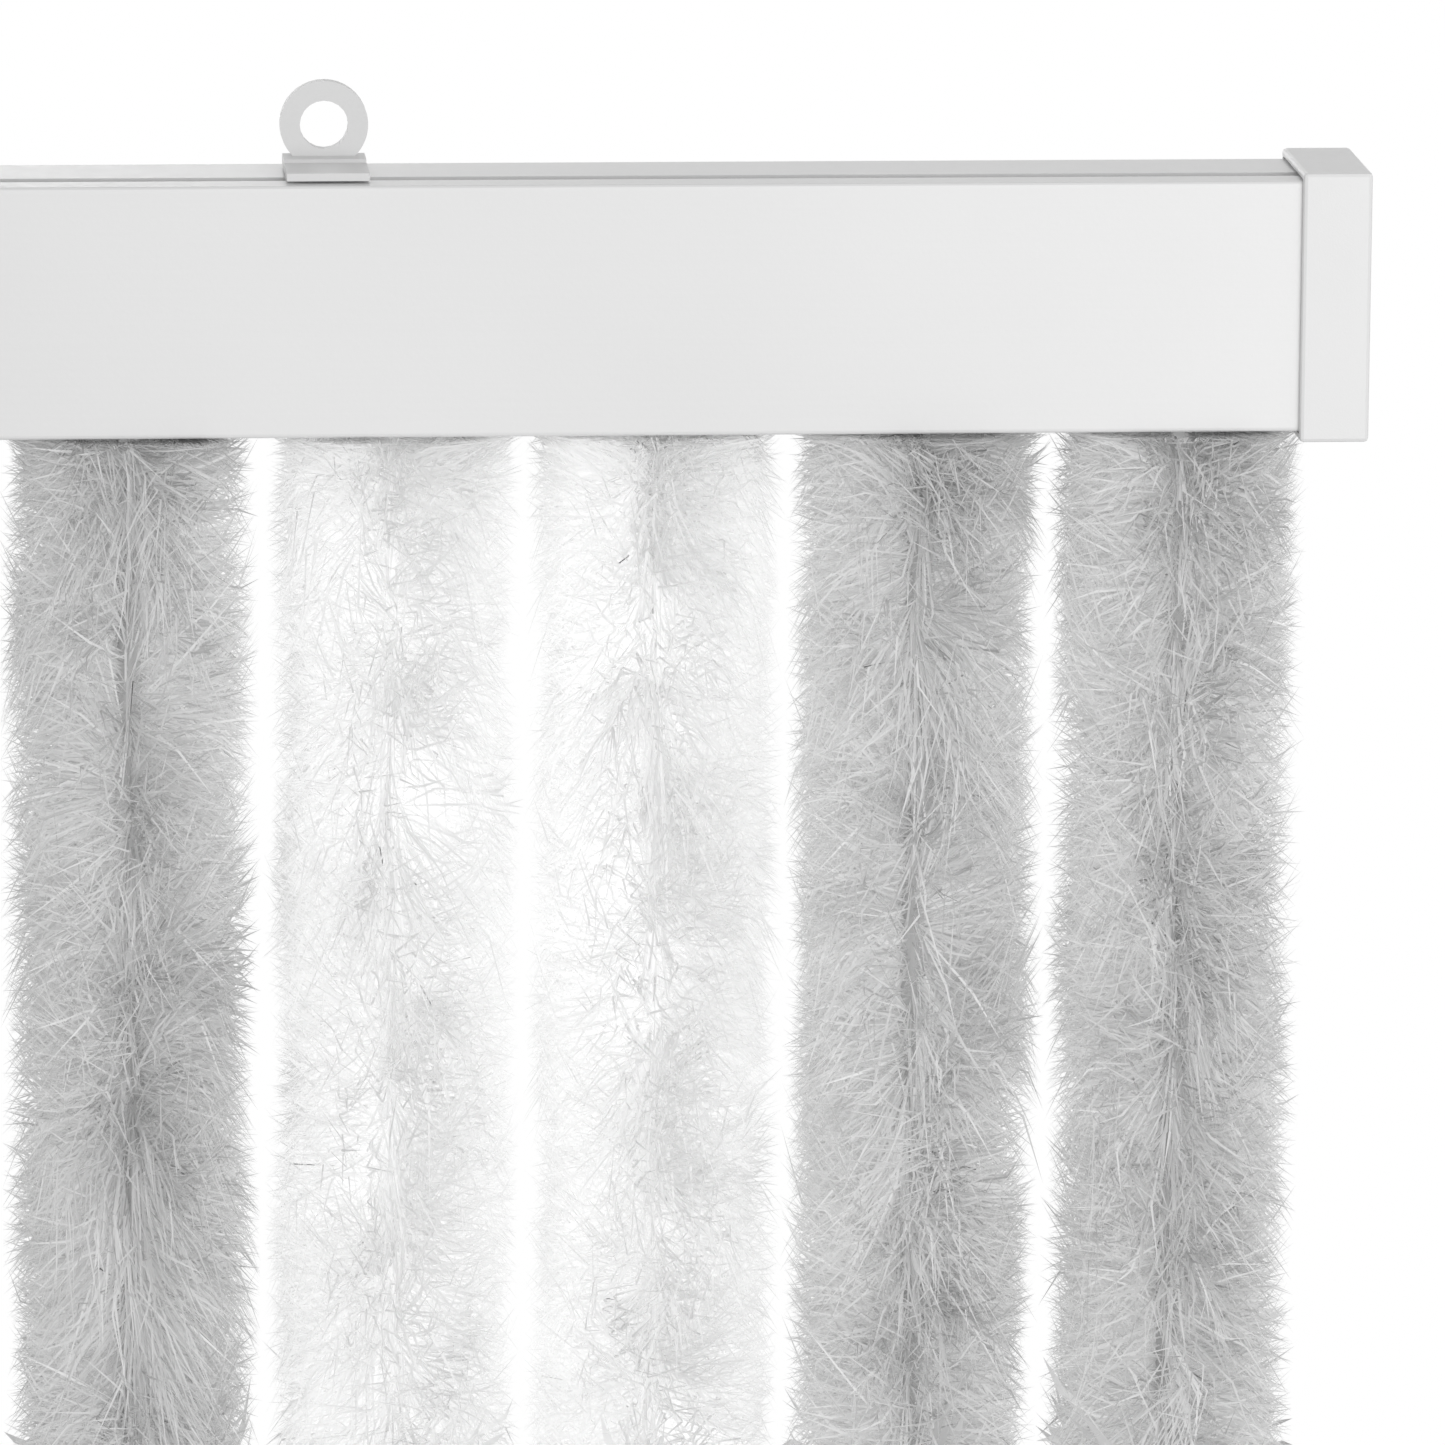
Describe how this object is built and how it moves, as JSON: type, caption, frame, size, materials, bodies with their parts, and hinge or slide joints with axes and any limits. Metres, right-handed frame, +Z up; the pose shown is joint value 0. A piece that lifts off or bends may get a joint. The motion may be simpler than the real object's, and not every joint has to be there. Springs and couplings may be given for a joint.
{
  "type": "chenille fly curtain",
  "caption": "Door curtain of hanging chenille strands in pairs of grey and white, under a slotted white rail with end caps and two sliding hanging eyes.",
  "frame": {"origin": "midway between the centres of the two hanging eyes, in the middle of their thickness", "axes": "+X along the rail, +Y towards what the rail hangs on, so the front faces -Y, +Z up"},
  "size_m": [0.56, 0.0276, 1.8603],
  "materials": {
    "rail_lacquer": "satin",
    "cap_plastic": "satin",
    "eye_plastic": "satin",
    "glider_plastic": "satin",
    "grey_pile": "matte",
    "white_pile": "matte"
  },
  "bodies": {
    "rail": {"rail": "rail_lacquer", "end_cap_left": "cap_plastic", "end_cap_right": "cap_plastic", "glider_01": "glider_plastic", "glider_02": "glider_plastic", "glider_03": "glider_plastic", "glider_04": "glider_plastic", "glider_05": "glider_plastic", "glider_06": "glider_plastic", "glider_07": "glider_plastic", "glider_08": "glider_plastic", "glider_09": "glider_plastic", "glider_10": "glider_plastic", "glider_11": "glider_plastic", "glider_12": "glider_plastic", "glider_13": "glider_plastic", "glider_14": "glider_plastic", "glider_15": "glider_plastic", "glider_16": "glider_plastic", "glider_17": "glider_plastic", "glider_18": "glider_plastic"},
    "hanging_eye_left": {"hanging_eye_left": "eye_plastic"},
    "hanging_eye_right": {"hanging_eye_right": "eye_plastic"},
    "strand_01": {"strand_01": "grey_pile"},
    "strand_02": {"strand_02": "grey_pile"},
    "strand_03": {"strand_03": "white_pile"},
    "strand_04": {"strand_04": "white_pile"},
    "strand_05": {"strand_05": "grey_pile"},
    "strand_06": {"strand_06": "grey_pile"},
    "strand_07": {"strand_07": "white_pile"},
    "strand_08": {"strand_08": "white_pile"},
    "strand_09": {"strand_09": "grey_pile"},
    "strand_10": {"strand_10": "grey_pile"},
    "strand_11": {"strand_11": "white_pile"},
    "strand_12": {"strand_12": "white_pile"},
    "strand_13": {"strand_13": "grey_pile"},
    "strand_14": {"strand_14": "grey_pile"},
    "strand_15": {"strand_15": "white_pile"},
    "strand_16": {"strand_16": "white_pile"},
    "strand_17": {"strand_17": "grey_pile"},
    "strand_18": {"strand_18": "grey_pile"}
  },
  "joints": [
    {"name": "left_eye_slide", "type": "slide", "parent": "rail", "child": "hanging_eye_left", "axis": [-1, 0, 0], "range_m": [-0.15, 0.1]},
    {"name": "right_eye_slide", "type": "slide", "parent": "rail", "child": "hanging_eye_right", "axis": [1, 0, 0], "range_m": [-0.15, 0.1]},
    {"name": "strand_01_swing", "type": "hinge", "parent": "rail", "child": "strand_01", "pos_m": [-0.25925, -0.0048, -0.0374], "axis": [1, 0, 0], "range_deg": [-60, 60]},
    {"name": "strand_02_swing", "type": "hinge", "parent": "rail", "child": "strand_02", "pos_m": [-0.22875, -0.0048, -0.0374], "axis": [1, 0, 0], "range_deg": [-60, 60]},
    {"name": "strand_03_swing", "type": "hinge", "parent": "rail", "child": "strand_03", "pos_m": [-0.19825, -0.0048, -0.0374], "axis": [1, 0, 0], "range_deg": [-60, 60]},
    {"name": "strand_04_swing", "type": "hinge", "parent": "rail", "child": "strand_04", "pos_m": [-0.16775, -0.0048, -0.0374], "axis": [1, 0, 0], "range_deg": [-60, 60]},
    {"name": "strand_05_swing", "type": "hinge", "parent": "rail", "child": "strand_05", "pos_m": [-0.13725, -0.0048, -0.0374], "axis": [1, 0, 0], "range_deg": [-60, 60]},
    {"name": "strand_06_swing", "type": "hinge", "parent": "rail", "child": "strand_06", "pos_m": [-0.10675, -0.0048, -0.0374], "axis": [1, 0, 0], "range_deg": [-60, 60]},
    {"name": "strand_07_swing", "type": "hinge", "parent": "rail", "child": "strand_07", "pos_m": [-0.07625, -0.0048, -0.0374], "axis": [1, 0, 0], "range_deg": [-60, 60]},
    {"name": "strand_08_swing", "type": "hinge", "parent": "rail", "child": "strand_08", "pos_m": [-0.04575, -0.0048, -0.0374], "axis": [1, 0, 0], "range_deg": [-60, 60]},
    {"name": "strand_09_swing", "type": "hinge", "parent": "rail", "child": "strand_09", "pos_m": [-0.01525, -0.0048, -0.0374], "axis": [1, 0, 0], "range_deg": [-60, 60]},
    {"name": "strand_10_swing", "type": "hinge", "parent": "rail", "child": "strand_10", "pos_m": [0.01525, -0.0048, -0.0374], "axis": [1, 0, 0], "range_deg": [-60, 60]},
    {"name": "strand_11_swing", "type": "hinge", "parent": "rail", "child": "strand_11", "pos_m": [0.04575, -0.0048, -0.0374], "axis": [1, 0, 0], "range_deg": [-60, 60]},
    {"name": "strand_12_swing", "type": "hinge", "parent": "rail", "child": "strand_12", "pos_m": [0.07625, -0.0048, -0.0374], "axis": [1, 0, 0], "range_deg": [-60, 60]},
    {"name": "strand_13_swing", "type": "hinge", "parent": "rail", "child": "strand_13", "pos_m": [0.10675, -0.0048, -0.0374], "axis": [1, 0, 0], "range_deg": [-60, 60]},
    {"name": "strand_14_swing", "type": "hinge", "parent": "rail", "child": "strand_14", "pos_m": [0.13725, -0.0048, -0.0374], "axis": [1, 0, 0], "range_deg": [-60, 60]},
    {"name": "strand_15_swing", "type": "hinge", "parent": "rail", "child": "strand_15", "pos_m": [0.16775, -0.0048, -0.0374], "axis": [1, 0, 0], "range_deg": [-60, 60]},
    {"name": "strand_16_swing", "type": "hinge", "parent": "rail", "child": "strand_16", "pos_m": [0.19825, -0.0048, -0.0374], "axis": [1, 0, 0], "range_deg": [-60, 60]},
    {"name": "strand_17_swing", "type": "hinge", "parent": "rail", "child": "strand_17", "pos_m": [0.22875, -0.0048, -0.0374], "axis": [1, 0, 0], "range_deg": [-60, 60]},
    {"name": "strand_18_swing", "type": "hinge", "parent": "rail", "child": "strand_18", "pos_m": [0.25925, -0.0048, -0.0374], "axis": [1, 0, 0], "range_deg": [-60, 60]}
  ]
}
